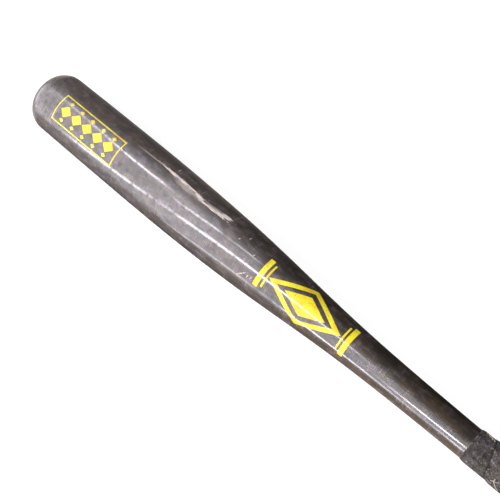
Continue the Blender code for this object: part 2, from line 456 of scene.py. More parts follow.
def lay_thread(start, end, turns, bow, rise, stout=1.0):
    """A copy of the thread from one place (s, angle) to another, bowed sideways and raised in its middle."""
    select_only([thread_model])
    bpy.ops.object.duplicate()
    thread = bpy.context.object
    for vertex in thread.data.vertices:
        run = (vertex.co.x + 1) / 2
        hump = math.sin(math.pi * run)
        raised = rise * (ENDS_RAISED + (1 - ENDS_RAISED) * hump)
        s = start[0] + (end[0] - start[0]) * run + bow * hump + stout * vertex.co.y
        angle = start[1] + (end[1] - start[1]) * run
        r = top_of_tape(s, turns) + THREAD_LIFT + raised + stout * vertex.co.z
        vertex.co = (s - BAT_LENGTH, r * math.cos(angle), r * math.sin(angle))
    return thread


print("diameter of the tape at its top edge, in mm:", round(2000 * top_of_tape(GRIP_TOP_S, 0.0), 1))

# %% Fray the worn spots and the edges
# The worn spots that the camera sees, one thread each: both ends in mm from the barrel end and degrees round
# from the camera's side, and how stout it is
CAMERA_SIDE = 90 + math.degrees(FACING)
FRAYED_SPOTS = [
    ((551.8, 77), (553.4, 67), 2.4), ((554.0, 73), (556.0, 64), 3.0), ((556.4, 71), (558.4, 60), 2.8),
    ((554.6, 78), (559.4, 66), 2.2), ((558.6, 69), (561.0, 61), 2.2), ((576.2, -48), (582.6, -36), 2.4),
    ((551.1, 16), (552.4, 13), 1.6), ((553.3, -57), (554.6, -54), 1.6), ((562.0, 30), (563.6, 34), 1.2),
    ((573.6, -55), (577.8, -60), 2.2), ((578.6, -34), (579.4, -48), 2.4), ((579.6, -47), (585.0, -68), 2.4),
]
EDGE_THREADS = 54
FRAYED_TURNS = (0.1, STRIP_TURNS - 0.3)
THREAD_LENGTHS = (0.0015, 0.0035)
OFF_THE_EDGE = (-0.0002, 0.0008)
THREAD_BOW = 0.0005
THREAD_RISE = 0.0003
GRIP_RADIUS = 0.0145
pick = random.Random(11)
threads = []
for start, end, stout in FRAYED_SPOTS:
    ends = [(place[0] / 1000, math.radians(CAMERA_SIDE - place[1])) for place in (start, end)]
    turns = (ends[0][1] - STRIP_START) / (2 * math.pi)
    bow = pick.uniform(-THREAD_BOW, THREAD_BOW)
    threads.append(lay_thread(*ends, turns, bow, THREAD_RISE, stout))
for _ in range(EDGE_THREADS):
    turns = pick.uniform(*FRAYED_TURNS)
    s = strip_edges(turns)[0] + pick.uniform(*OFF_THE_EDGE)
    angle = strip_angle(turns)
    length = pick.uniform(*THREAD_LENGTHS)
    lean = pick.uniform(0, math.pi)
    end = (s - length * math.sin(lean), angle + length * math.cos(lean) / GRIP_RADIUS)
    bow = pick.uniform(-THREAD_BOW, THREAD_BOW)
    rise = pick.uniform(0.0, 2 * THREAD_RISE)
    threads.append(lay_thread((s, angle), end, turns, bow, rise))
select_only(threads)
bpy.ops.object.join()
threads = bpy.context.object
threads.name = "frayed_threads"
bpy.data.objects.remove(thread_model)
print("threads:", triangle_count(threads), "triangles")

# %% [markdown]
# ## The print
#
# Two groups of yellow marks are screen printed on the side that faces the camera: lozenges in a pinstripe
# frame on the barrel, and nested lozenges between bars over the taper. They could be masks in the wood's
# material, but ink has an edge and a body, so each group is cut flat like a transfer, then wrapped on the
# wood as a film a few hundredths of a millimetre thick.

# %% Cut a flat mark
LOZENGE = (0.0152, 0.0124)


def flat_mark(length, height, lozenge=False, border=0.0, cuts=15):
    """A flat bar or lozenge of true size, hollow if it has a border."""
    mark = start_from(bpy.ops.mesh.primitive_plane_add, "mark", size=1)
    bpy.ops.object.mode_set(mode="EDIT")
    bpy.ops.mesh.select_all(action="SELECT")
    if lozenge:
        bpy.ops.transform.rotate(value=math.radians(45), orient_axis="Z", center_override=(0, 0, 0))
        length, height = length / math.sqrt(2), height / math.sqrt(2)
    bpy.ops.transform.resize(value=(length, height, 1))
    if border:
        bpy.ops.mesh.inset(thickness=border)
        bpy.ops.mesh.delete(type="FACE")
    bpy.ops.mesh.select_all(action="SELECT")
    bpy.ops.mesh.subdivide(number_cuts=cuts)
    bpy.ops.object.mode_set(mode="OBJECT")
    return mark


def moved(mark, along, up=0.0):
    """Shifts a flat mark along and across the bat, in its mesh."""
    for vertex in mark.data.vertices:
        vertex.co.x += along
        vertex.co.y += up
    return mark


def copied(mark, along, up=0.0):
    """A shifted copy of a flat mark, with its own mesh."""
    select_only([mark])
    bpy.ops.object.duplicate()
    return moved(bpy.context.object, along, up)


lozenge = flat_mark(*LOZENGE, lozenge=True, cuts=7)
print("one lozenge:", triangle_count(lozenge), "triangles")

# %% Wrap marks on the wood
INK_LIFT = 0.00004
INK_THICKNESS = 0.00005


def wrap_print(name, marks, centre_s, centre_up=0.0):
    """Joins flat marks, wraps them on the wood round a place along the bat, and gives the film its body."""
    select_only(marks)
    bpy.ops.object.join()
    film = bpy.context.object
    film.name = name
    film.data.name = name
    for vertex in film.data.vertices:
        s = centre_s + vertex.co.x
        r = wood_radius(s)
        vertex.co = rolled(s - BAT_LENGTH, (centre_up + vertex.co.y) / r, r + INK_LIFT)
    body = film.modifiers.new("body", "SOLIDIFY")
    body.thickness = INK_THICKNESS
    body.offset = 1.0
    finish_modifiers(film)
    bpy.ops.object.shade_smooth_by_angle(angle=math.radians(30))
    print(name, triangle_count(film), "triangles")
    return film


# %% Print the barrel
LOZENGE_SPACING = 0.0162
STUD = (0.0058, 0.0044)
STUD_UP = 0.0096
FRAME = (0.091, 0.0300)
FRAME_LINE = 0.0013
BARREL_PRINT_S = 0.086
BARREL_PRINT_UP = -0.0022
marks = [copied(lozenge, LOZENGE_SPACING * k) for k in (-2, -1, 1, 2)] + [lozenge]
stud = flat_mark(*STUD, lozenge=True, cuts=2)
marks += [copied(stud, LOZENGE_SPACING * k, up) for k in (-2, -1, 0, 1, 2) for up in (-STUD_UP, STUD_UP)]
bpy.data.objects.remove(stud)
marks.append(flat_mark(*FRAME, border=FRAME_LINE, cuts=27))
barrel_print = wrap_print("barrel_print", marks, BARREL_PRINT_S, BARREL_PRINT_UP)

# %% Print the taper
OUTER_LOZENGE = (0.082, 0.040)
OUTER_BORDER = 0.0042
INNER_LOZENGE = (0.046, 0.0205)
BAR = (0.0052, 0.030)
BAR_PLACE = 0.0485
THIN_BAR = (0.0018, 0.024)
THIN_BAR_PLACES = (-0.0425, 0.0430)
TAPER_PRINT_S = 0.372
marks = [flat_mark(*OUTER_LOZENGE, lozenge=True, border=OUTER_BORDER, cuts=31)]
marks.append(flat_mark(*INNER_LOZENGE, lozenge=True, cuts=23))
bar = flat_mark(*BAR)
thin_bar = flat_mark(*THIN_BAR)
marks.append(copied(bar, BAR_PLACE))
marks += [copied(thin_bar, place) for place in THIN_BAR_PLACES]
marks.append(moved(bar, -BAR_PLACE))
bpy.data.objects.remove(thin_bar)
taper_print = wrap_print("taper_print", marks, TAPER_PRINT_S)

# %% [markdown]
# ## Finishes
#
# A colour is written as the sRGB hex value that it would have in a picture, and one function turns it into
# the linear values that the shader works in. Another adds a node with its settings and links.

# %% Helpers for materials
# Settings that many nodes share
COLOURS = {"data_type": "RGBA"}
PRODUCT = {"operation": "MULTIPLY"}
REST = {"operation": "SUBTRACT"}
LARGER = {"operation": "MAXIMUM"}
SCALED_SUM = {"operation": "MULTIPLY_ADD"}


def srgb(code):
    """Linear colour of a hex value such as "8A7F70"."""
    parts = [int(code[i : i + 2], 16) / 255 for i in (0, 2, 4)]
    return (*[c / 12.92 if c <= 0.04045 else ((c + 0.055) / 1.055) ** 2.4 for c in parts], 1.0)


def add_node(tree, kind, settings=None, **inputs):
    """A node with its settings. Each input is a value, a node's output, or a node, for its first output."""
    made = tree.nodes.new(kind)
    for name, value in (settings or {}).items():
        setattr(made, name, value)
    for name, value in inputs.items():
        socket = made.inputs[int(name[1:]) if name[1:].isdigit() else name.replace("_", " ")]
        if isinstance(value, bpy.types.Node):
            value = next(output for output in value.outputs if output.enabled)
        if isinstance(value, bpy.types.NodeSocket):
            tree.links.new(value, socket)
        else:
            socket.default_value = value
    return made


def new_material(name):
    """An empty node material and its tree."""
    material = bpy.data.materials.new(name)
    material.use_nodes = True
    material.node_tree.nodes.clear()
    return material, material.node_tree


def finish_pieces(pieces, material, shader):
    """Gives a material its shader, and these pieces the material."""
    add_node(material.node_tree, "ShaderNodeOutputMaterial", Surface=shader)
    for piece in pieces:
        piece.data.materials.clear()
        piece.data.materials.append(material)
    print(material.name, "of", len(material.node_tree.nodes), "nodes is on", [piece.name for piece in pieces])


print("middle grey in linear light:", round(srgb("808080")[0], 3))

# %% [markdown]
# ### Stained maple under lacquer
#
# Maple has fine, even grain. Stained near black and sprayed with gloss lacquer, it shows the lights as sharp
# streaks, and its own colour only where nothing bright is reflected. Play has worn it: sanding rings and
# ball marks break the gloss, and one long scuff goes through to the pale wood. The gloss is the shader's
# coat. Every pattern is spread in millimetres, along the bat and round it.

# %% Spread the patterns over the wood
lacquered_maple, tree = new_material("black_stained_maple_under_lacquer")
place = add_node(tree, "ShaderNodeTexCoord").outputs["Object"]
# Each pattern's size in mm along the bat and across it, its detail and its roughness
WOOD_PATTERNS = {
    "grain": (30, 1.1, 3, 0.6),
    "stain": (22, 7, 3, 0.6),
    "haze": (11, 6, 3, 0.55),
    "tone": (7, 6, 3, 0.6),
    "rings": (1.6, 30, 2, 0.6),
    "rubs": (9, 8, 2, 0.5),
    "dashes": (3.0, 6, 2, 0.5),
    "ripple": (16, 5, 1, 0.5),
    "tatters": (9, 0.8, 3, 0.7),
    "scores": (1.2, 9, 2, 0.5),
}
wood = {}
for name, (along, across, detail, rough) in WOOD_PATTERNS.items():
    scale = (1000 / along, 1000 / across, 1000 / across)
    spread = add_node(tree, "ShaderNodeMapping", Vector=place, Scale=scale)
    fineness = {"Scale": 1.0, "Detail": detail, "Roughness": rough}
    wood[name] = add_node(tree, "ShaderNodeTexNoise", Vector=spread, **fineness)
print("wood patterns:", ", ".join(wood))

# %% Add the lathe's rings
# The lathe's sandpaper leaves rings at an even spacing, finer than a pixel, so they are drawn 2 mm apart
LATHE_RING_MM = 2.05
RING_DRIFT_MM = 50 / 3
RING_SHARE = 0.22
WAVES_PER_UNIT = 20 / (2 * math.pi)
scale = (1000 / LATHE_RING_MM, 1000 / RING_DRIFT_MM, 1000 / RING_DRIFT_MM)
spread = add_node(tree, "ShaderNodeMapping", Vector=place, Scale=scale)
waves = {"Scale": 1 / WAVES_PER_UNIT, "Distortion": 2.5, "Detail": 2.0}
lathe = add_node(tree, "ShaderNodeTexWave", Vector=spread, **waves).outputs["Fac"]
uneven = add_node(tree, "ShaderNodeMath", REST, _0=wood["rings"], _1=RING_SHARE / 2)
wood["rings"] = add_node(tree, "ShaderNodeMath", SCALED_SUM, _0=lathe, _1=RING_SHARE, _2=uneven)
print("rings every", LATHE_RING_MM, "mm")

# %% Find the way along and round the bat, in mm
MM_PER_RADIAN = 30.0
MM_PER_METRE = 1000.0
parts = add_node(tree, "ShaderNodeSeparateXYZ", _0=place).outputs
angle = add_node(tree, "ShaderNodeMath", {"operation": "ARCTAN2"}, _0=parts["Y"], _1=parts["Z"])
for name, distance, unit, start in (
    ("along", parts["X"], MM_PER_METRE, BAT_LENGTH),
    ("around", angle, MM_PER_RADIAN, FACING),
):
    wood[name] = add_node(tree, "ShaderNodeMath", SCALED_SUM, _0=distance, _1=unit, _2=unit * start)
unrolled = add_node(tree, "ShaderNodeCombineXYZ", X=wood["along"], Y=wood["around"])
print("unrolled:", MM_PER_METRE * BAT_LENGTH, "by", round(2 * math.pi * MM_PER_RADIAN), "mm")

# %% Read the patterns
# What each finish reads: a pattern, between which two values of it, and what they give
WOOD_READINGS = {
    "thin stain": ("stain", 0.4, 0.68, 0, 1),
    "pores": ("grain", 0.5, 0.68, 0, 0.2),
    "dust hue": ("tone", 0.4, 0.6, 0, 1),
    "dust": ("haze", 0.46, 0.7, 0, 0.16),
    "dusty rings": ("rings", 0.42, 0.58, 0.4, 1.6),
    "dusty barrel": ("along", 320, 520, 1, 0.6),
    "scores": ("scores", 0.58, 0.72, 0, 0.34),
    "grazed": ("haze", 0.44, 0.56, 0.15, 1),
    "lower side": ("around", 15, -20, 0.12, 1),
    "maple tone": ("tone", 0.44, 0.56, 0, 1),
    "dirt": ("tatters", 0.42, 0.66, 0, 0.65),
    "glossy rings": ("rings", 0.43, 0.57, 1, 0.56),
    "ball marks": ("dashes", 0.56, 0.64, 1, 0.4),
    "struck": ("along", 380, 490, 1, 0.3),
    "rubs": ("rubs", 0.4, 0.65, 1, 0.85),
}
read = {}
for name, (pattern, low, high, at_low, at_high) in WOOD_READINGS.items():
    ends = {"From_Min": low, "From_Max": high, "To_Min": at_low, "To_Max": at_high}
    read[name] = add_node(tree, "ShaderNodeMapRange", Value=wood[pattern], **ends)
print("wood readings:", len(read))

# %% [markdown]
# ### The scuff and the nicks
#
# One long scuff and a few nicks go through stain and lacquer to the wood. They could be painted by hand on
# an image, but this bat carries no images: each is a few ovals on the unrolled wood, with edges that follow
# the grain.

# %% Wear the scuff and the nicks
# Each oval: mm from the barrel end, degrees round from the camera's side, half length and half width in mm,
# and slant in degrees
SCUFF_OVALS = [
    (200.7, 34.3, 26, 1.4, -1), (228, 30.7, 7.5, 1.9, -11), (246, 28.5, 18, 1.1, 1),
    (261.5, 37.0, 6.0, 1.6, 6), (257, 32.6, 6, 0.9, 5),
]
NICK_OVALS = [
    (190.7, 49.5, 2.2, 0.5, 95), (293.0, 35.0, 1.6, 0.5, 80), (307.0, 13.0, 1.6, 0.5, 75),
    (306.5, -31.0, 4.8, 0.45, 45), (313.6, -26.5, 1.6, 0.5, 80), (317.5, -24.0, 1.8, 0.5, 70),
    (286.0, 20.0, 1.1, 0.5, 70),
]
# Where the scuff only thinned the stain
RUBBED_OVALS = [(164, 34.0, 17, 0.55, 1), (213, 29.4, 16, 2.9, -2), (250, 32.6, 14, 1.9, 3.5)]
NICK_DEPTH = 0.6
TATTERED = 2.4


def worn_mask(ovals, soft):
    """1 inside the ovals and 0 outside, with a tattered edge that is softer or crisper."""
    nearest = None
    for s_mm, degrees, half_length, half_width, slant in ovals:
        centred = add_node(
            tree,
            "ShaderNodeMapping",
            {"vector_type": "TEXTURE"},
            Vector=unrolled,
            Location=(s_mm, math.radians(degrees) * MM_PER_RADIAN, 0),
            Rotation=(0, 0, math.radians(slant)),
            Scale=(half_length, half_width, 1),
        )
        distance = add_node(tree, "ShaderNodeVectorMath", {"operation": "LENGTH"}, _0=centred)
        if nearest:
            distance = add_node(tree, "ShaderNodeMath", {"operation": "MINIMUM"}, _0=nearest, _1=distance)
        nearest = distance
    torn = add_node(tree, "ShaderNodeMath", SCALED_SUM, _0=wood["tatters"], _1=TATTERED, _2=-TATTERED / 2)
    reach = add_node(tree, "ShaderNodeMath", {"operation": "ADD"}, _0=nearest, _1=torn)
    smooth = {"interpolation_type": "SMOOTHSTEP"}
    return add_node(tree, "ShaderNodeMapRange", smooth, Value=reach, From_Min=1.0 + soft, From_Max=1.0 - soft)


scuffed = worn_mask(SCUFF_OVALS, soft=0.2)
nicked = add_node(tree, "ShaderNodeMath", PRODUCT, _0=worn_mask(NICK_OVALS, soft=0.5), _1=NICK_DEPTH)
bare = add_node(tree, "ShaderNodeMath", LARGER, _0=scuffed, _1=nicked)
rubbed = worn_mask(RUBBED_OVALS, soft=0.6)
print("worn through:", len(SCUFF_OVALS) + len(NICK_OVALS), "ovals; rubbed thin:", len(RUBBED_OVALS))

# %% Colour the wood
RUBBED_THIN = 0.8
# Two tones of stain, and greenish or lilac dust
colour = add_node(tree, "ShaderNodeMix", COLOURS, _0=read["thin stain"], _6=srgb("1C1A15"), _7=srgb("35291D"))
dust = add_node(tree, "ShaderNodeMix", COLOURS, _0=read["dust hue"], _6=srgb("A39A7C"), _7=srgb("B092BC"))
# Bare maple, with some dirt in its grain
maple = add_node(tree, "ShaderNodeMix", COLOURS, _0=read["maple tone"], _6=srgb("F8E6DE"), _7=srgb("D6CCD4"))
dirty = add_node(tree, "ShaderNodeMix", COLOURS, _0=read["dirt"], _6=maple, _7=srgb("8C7C76"))
# What lies over the stain, each with the factors of its amount: the pores of the grain; dust in the sanding
# rings, most of it on the barrel; patches of fine scores from rolling on the ground, most on the lower side
# and drawn twice as wide as they are; the rubbed skirt of the scuff; and bare wood
layers = [
    (srgb("473B2E"), [read["pores"]]),
    (dust, [read["dust"], read["dusty rings"], read["dusty barrel"]]),
    (srgb("B3A9A6"), [read["scores"], read["grazed"], read["lower side"]]),
    (srgb("AEA29E"), [rubbed, RUBBED_THIN]),
    (dirty, [bare]),
]
for over, (amount, *factors) in layers:
    for factor in factors:
        amount = add_node(tree, "ShaderNodeMath", PRODUCT, _0=amount, _1=factor)
    colour = add_node(tree, "ShaderNodeMix", COLOURS, _0=amount, _6=colour, _7=over)
print("layers over the stain:", len(layers))

# %% [markdown]
# ### The lacquer
#
# One even coat would do for a new bat. On a played one the sanding rings show through it, balls have dulled
# it in short dashes, and it is gone where the wood is bare. So the coat's weight is made from those
# patterns, and three bumps let the streaks of light ripple.

# %% Break the gloss
SATIN_ROUGHNESS = 0.35
BARE_ROUGHNESS = 0.7
broken = add_node(tree, "ShaderNodeMath", PRODUCT, _0=read["glossy rings"], _1=read["ball marks"])
dulled = add_node(tree, "ShaderNodeMath", REST, _0=1.0, _1=broken)
# Balls strike the barrel, so the rings and ball marks fade out along the taper
dulled_here = add_node(tree, "ShaderNodeMath", PRODUCT, _0=dulled, _1=read["struck"])
sound = add_node(tree, "ShaderNodeMath", REST, _0=1.0, _1=dulled_here)
coat = add_node(tree, "ShaderNodeMath", REST, _0=1.0, _1=bare)
for part in (sound, read["rubs"]):
    coat = add_node(tree, "ShaderNodeMath", PRODUCT, _0=coat, _1=part)
satin = add_node(tree, "ShaderNodeMapRange", Value=bare, To_Min=SATIN_ROUGHNESS, To_Max=BARE_ROUGHNESS)
print("nodes so far:", len(tree.nodes))

# %% Ripple the surface
# Heights in metres of the swell in the wood and of the rings, and how deep the scuff goes
SWELL_HEIGHT = {"Strength": 1.0, "Distance": 0.000021}
RING_HEIGHT = {"Strength": 1.0, "Distance": 0.000008}
SCUFF_DEPTH = {"Strength": 1.0, "Distance": 0.00015}
swell = add_node(tree, "ShaderNodeBump", Height=wood["ripple"], **SWELL_HEIGHT)
ridged = add_node(tree, "ShaderNodeBump", Height=wood["rings"], Normal=swell, **RING_HEIGHT)
worn_in = add_node(tree, "ShaderNodeBump", {"invert": True}, Height=bare, Normal=ridged, **SCUFF_DEPTH)
shader = add_node(
    tree,
    "ShaderNodeBsdfPrincipled",
    Base_Color=colour,
    Roughness=satin,
    Specular_IOR_Level=0.3,
    Coat_Weight=coat,
    Coat_Roughness=0.085,
    Normal=worn_in,
    Coat_Normal=worn_in,
)
finish_pieces([bat], lacquered_maple, shader)

# %% [markdown]
# ### Screen-printed ink
#
# The ink is opaque, a slightly uneven yellow, with tiny chips where the stain shows through. It is printed
# under the last clear coat, so it has a thinner shader coat than the wood, and the lamps' streaks run
# across it.

# %% Mix the ink
INK_PATCH_MM = 14
INK_CHIP_MM = 1.4
yellow_ink, tree = new_material("yellow_screen_print_ink")
place = add_node(tree, "ShaderNodeTexCoord").outputs["Object"]
uneven = add_node(tree, "ShaderNodeTexNoise", Vector=place, Scale=1000 / INK_PATCH_MM, Detail=2.0)
patches = add_node(tree, "ShaderNodeMapRange", Value=uneven, From_Min=0.38, From_Max=0.6)
body = add_node(tree, "ShaderNodeMix", COLOURS, _0=patches, _6=srgb("E6BE1A"), _7=srgb("E9DD30"))
fineness = {"Scale": 1000 / INK_CHIP_MM, "Detail": 3.0, "Roughness": 0.7}
worn = add_node(tree, "ShaderNodeTexNoise", Vector=place, **fineness)
chips = add_node(tree, "ShaderNodeMapRange", Value=worn, From_Min=0.56, From_Max=0.66, To_Max=0.6)
inked = add_node(tree, "ShaderNodeMix", COLOURS, _0=chips, _6=body, _7=srgb("4A3F24"))
shader = add_node(
    tree,
    "ShaderNodeBsdfPrincipled",
    Base_Color=inked,
    Roughness=0.5,
    Specular_IOR_Level=0.15,
    Coat_Weight=0.6,
    Coat_Roughness=0.1,
)
finish_pieces([barrel_print, taper_print], yellow_ink, shader)

# %% [markdown]
# ### Woven cotton tape
#
# Black cotton tape fades to a warm grey and gathers lint. Its real threads are a third of a millimetre
# apart, finer than a pixel of this picture, so the weave is drawn about three times as coarse. It follows
# the cloth's own UV map, so it turns with the winding.

# %% Weave the tape
THREAD_MM = 1.1
woven_tape, tree = new_material("woven_black_cotton_tape")
place = add_node(tree, "ShaderNodeTexCoord").outputs["Object"]
laid = add_node(tree, "ShaderNodeUVMap")
tape_length_mm = 1000 * STRIP_TURNS * 2 * math.pi * GRIP_RADIUS
counts = (tape_length_mm / THREAD_MM, 1000 * TAPE_WIDTH / THREAD_MM, 1)
counted = add_node(tree, "ShaderNodeMapping", Vector=laid, Scale=counts)
weave = add_node(tree, "ShaderNodeTexNoise", Vector=counted, Scale=1.0, Detail=1.0)
print("threads along and across the strip:", tuple(round(count) for count in counts[:2]))

# %% Fade and soil the tape
# Each pattern's size in mm and its roughness
TAPE_PATTERNS = {"lint": (1.5, 0.8), "fade": (9, 0.6), "blotch": (4.4, 0.6)}
# A pattern, or mm from an edge, between which two values of it, and how much the second gives
TAPE_READINGS = {
    "faded": ("fade", 0.36, 0.64, 1),
    "worn": ("blotch", 0.36, 0.6, 1),
    "lint": ("lint", 0.54, 0.72, 0.85),
    # The dark band beside each lap is partly gum and partly painted shade under the edge of the layer above
    "gum": ("to_lap", 2.6, 0.4, 0.7),
    "cut edge": ("from_edge", 1.1, 0.3, 1),
    "rubbed": ("blotch", 0.42, 0.62, 0.32),
}
cloth = {}
for name, (size, rough) in TAPE_PATTERNS.items():
    fineness = {"Scale": 1000 / size, "Detail": 3.0, "Roughness": rough}
    cloth[name] = add_node(tree, "ShaderNodeTexNoise", Vector=place, **fineness)
for name in ("to_lap", "from_edge"):
    cloth[name] = add_node(tree, "ShaderNodeAttribute", {"attribute_name": name}).outputs["Fac"]
read = {}
for name, (pattern, low, high, at_high) in TAPE_READINGS.items():
    ends = {"From_Min": low, "From_Max": high, "To_Max": at_high}
    read[name] = add_node(tree, "ShaderNodeMapRange", Value=cloth[pattern], **ends)
print("tape readings:", ", ".join(read))

# %% Colour the tape and give it its nap
NAP_HEIGHT = 0.0005
worn_nap = add_node(tree, "ShaderNodeMix", COLOURS, _0=read["faded"], _6=srgb("4C4941"), _7=srgb("5A5157"))
pale_edge = add_node(tree, "ShaderNodeMath", PRODUCT, _0=read["cut edge"], _1=read["rubbed"])
# What lies over the black: worn nap, lint, a dark band beside each lap, partly gum that creeps out and holds
# dirt and partly painted shade under the lapping edge, and the cut edge, which is rubbed pale
layers = [(worn_nap, "worn"), (srgb("A39A9C"), "lint"), (srgb("14110F"), "gum")]
colour = srgb("1F1B18")
for over, name in layers:
    colour = add_node(tree, "ShaderNodeMix", COLOURS, _0=read[name], _6=colour, _7=over)
edged = add_node(tree, "ShaderNodeMix", COLOURS, _0=pale_edge, _6=colour, _7=srgb("AFA69E"))
height = add_node(tree, "ShaderNodeMath", {"operation": "ADD"}, _0=weave, _1=cloth["lint"])
bumped = add_node(tree, "ShaderNodeBump", Strength=1.0, Distance=NAP_HEIGHT, Height=height)
shader = add_node(
    tree,
    "ShaderNodeBsdfPrincipled",
    Base_Color=edged,
    Roughness=0.9,
    Specular_IOR_Level=0.25,
    Normal=bumped,
)
finish_pieces([anchor, strip], woven_tape, shader)

# %% [markdown]
# ### Pale thread
#
# Pulled out of the weave, a cotton thread has lost its dye: it looks almost white, or grey where it is dirty.

# %% Bleach the loose threads
TINT_MM = 7
pale_cotton, tree = new_material("pale_cotton_thread")
place = add_node(tree, "ShaderNodeTexCoord").outputs["Object"]
tint = add_node(tree, "ShaderNodeTexNoise", Vector=place, Scale=1000 / TINT_MM)
colour = add_node(tree, "ShaderNodeMix", COLOURS, _0=tint, _6=srgb("8D8484"), _7=srgb("E8DDC8"))
matte = {"Roughness": 0.9, "Specular_IOR_Level": 0.1}
shader = add_node(tree, "ShaderNodeBsdfPrincipled", Base_Color=colour, **matte)
finish_pieces([threads], pale_cotton, shader)

# %% [markdown]
# ## The studio
#
# A pale floor, white surroundings and one soft lamp. A glossy bat shows what stands round it, so the
# studio also has a reflection screen: a large half-lit sheet rolled round the bat, seen only in its gloss.

# %% Say how the screen glows
def ramp(low, high, value):
    """0 at low, 1 at high, smooth between and level beyond."""
    t = np.clip((value - low) / (high - low), 0.0, 1.0)
    return t * t * (3 - 2 * t)


def screen_glow(x, theta):
    """Radiance of the screen at places along the bat and angles in degrees round it.

    Each pair of lists is some places along the bat and what there is at them: an angle or a strength.
    """
    upper = np.interp(x, [-2.3, -1.8, -1.2, -0.9, -0.6, -0.4], [30, 34, 30, 17, -6, -20])
    lower = np.interp(x, [-2.3, -1.8, -1.2, -0.7, -0.4], [-82, -90, -87, -84, -78])
    level = np.interp(x, [-2.3, -1.9, -1.55, -1.3, -1.0, -0.5], [3.9, 3.7, 4.7, 4.2, 3.7, 3.9])
    lit = ramp(lower - 13, lower + 13, theta)
    bright = level * (1 - ramp(upper - 30, upper + 30, theta)) * lit
    tail = np.interp(x, [-2.2, -1.6, -1.2, -0.9, -0.6], [0.45, 0.6, 1.1, 0.6, 0.15])
    tail = tail * (1 - ramp(45, 80, theta)) * ramp(-60, 30, theta)
    shade = np.interp(x, [-2.3, -2.0, -1.5, -1.2, -0.5], [0.62, 0.56, 0.68, 0.25, 0.02])
    shade = shade * (1 - 0.6 * ramp(80, 120, theta))
    falls = np.interp(x, [-2.3, -1.6, -1.0, -0.6], [0.7, 0.85, 0.75, 0.35])
    floor = 0.8 * (1 - lit) * (1 - falls * ramp(-100, -145, theta)) * (1 - 0.5 * ramp(-140, -165, theta))
    # A window behind the knob's end, which the camera's picture doesn't catch
    window = 3.0 * ramp(0.0, 0.8, x) * ramp(35, 75, theta) * (1 - ramp(110, 150, theta))
    beyond_barrel = 0.6 * ramp(-2.4, -2.9, x)
    # The bright floor behind the bat, which from the camera is only on the outermost rim
    behind = 2.2 * ramp(-1.9, -1.5, x) * (ramp(156, 172, theta) + ramp(-170, -178, theta))
    return (shade + tail) * lit + bright + floor + window + beyond_barrel + behind


def screen_tint(x, theta):
    """0 for the cool white of the lamps, 1 for the warm brown that the floor throws up under the handle."""
    below = np.interp(x, [-1.3, -0.7], [0.15, 1.0]) * (1 - ramp(-100, -80, theta)) * ramp(-165, -140, theta)
    above = np.interp(x, [-1.5, -1.0], [0.35, 0.1]) * ramp(45, 75, theta)
    return below + above


print("glow facing the camera:", [round(float(screen_glow(x, 0)), 1) for x in (-2.0, -1.5, -1.0)])

# %% Roll the reflection screen
SCREEN_RADIUS = 2.0
SCREEN_END_X = -3.0
SCREEN_START_X = 2.4
# The flat sheet runs from -1 to 1, and its first part closes the roll beyond the barrel end
CLOSED_UP_TO = -0.8
CLOSED_SHARE = 0.95
steps = {"x_subdivisions": 220, "y_subdivisions": 240}
screen = start_from(bpy.ops.mesh.primitive_grid_add, "reflection_screen", size=2, **steps)
flat = np.array([vertex.co[:2] for vertex in screen.data.vertices])
past_end = np.interp(flat[:, 0], (-1.0, CLOSED_UP_TO), (1.0, 0.0))
xs = np.interp(flat[:, 0], (CLOSED_UP_TO, 1.0), (SCREEN_END_X, SCREEN_START_X))
thetas = 180 * flat[:, 1]
for vertex, x, theta, closed in zip(screen.data.vertices, xs, thetas, past_end):
    vertex.co = rolled(x, math.radians(theta), SCREEN_RADIUS * (1 - CLOSED_SHARE * closed))
for name, values in (("glow", screen_glow(xs, thetas)), ("tint", screen_tint(xs, thetas))):
    screen.data.attributes.new(name, "FLOAT", "POINT").data.foreach_set("value", values)
print("screen:", triangle_count(screen), "triangles")

# %% [markdown]
# ### The streaks
#
# The sharp streaks along the bat are the studio's lamps. Real lamps could stand there, but they would also
# light the floor, so narrow strips hang just inside the screen and follow where each streak runs.

# %% Hang the light tubes
TUBE_RADIUS = 1.9
# Where along the bat a tube has its first and its second width
WIDTH_PLACES = (-2.4, -0.4)
# Each tube's two widths in degrees, and its places: metres along the bat, degrees round it, and strength
TUBES = {
    "upper": (
        7, 6,
        [(-2.4, 25, 5), (-2.1, 18, 15), (-1.9, 13, 25), (-1.8, 13, 30), (-1.7, 15, 30), (-1.6, 18, 12),
         (-1.55, 20, 0)],
    ),
    "middle": (
        9, 6.5,
        [(-2.3, -80, 3), (-2.2, -78, 6), (-2.1, -72, 26), (-1.9, -62.5, 28), (-1.8, -58, 27),
         (-1.65, -48, 15), (-1.55, -42.5, 12), (-1.45, -37.5, 27), (-1.2, -26, 38), (-1.05, -20.5, 32),
         (-0.9, -17.5, 38), (-0.7, -12, 46), (-0.65, -11.5, 30), (-0.6, -12.5, 0)],
    ),
    "short": (
        4.5, 6,
        [(-1.55, -3.5, 0), (-1.5, -1, 22), (-1.4, 3.5, 30), (-1.25, 11.5, 26), (-1.15, 14.5, 10),
         (-1.0, 19, 18), (-0.9, 21, 0)],
    ),
    "lower": (
        4, 8,
        [(-1.55, -93.5, 5), (-1.5, -91.5, 9), (-1.3, -82.7, 12), (-1.2, -79.2, 10), (-1.1, -76.5, 15),
         (-0.92, -75, 6), (-0.85, -75.5, 9), (-0.75, -77, 34), (-0.7, -77, 31), (-0.6, -73.3, 18),
         (-0.54, -74, 13), (-0.5, -74.5, 12), (-0.45, -74, 3), (-0.4, -71, 11), (-0.35, -69, 21),
         (-0.3, -67, 25)],
    ),
    "near": (
        6, 7,
        [(-0.57, -52, 0), (-0.5, -47.5, 29), (-0.45, -45.5, 37), (-0.37, -42, 42), (-0.3, -38.5, 42)],
    ),
}
steps = {"x_subdivisions": 80, "y_subdivisions": 1}
tubes = []
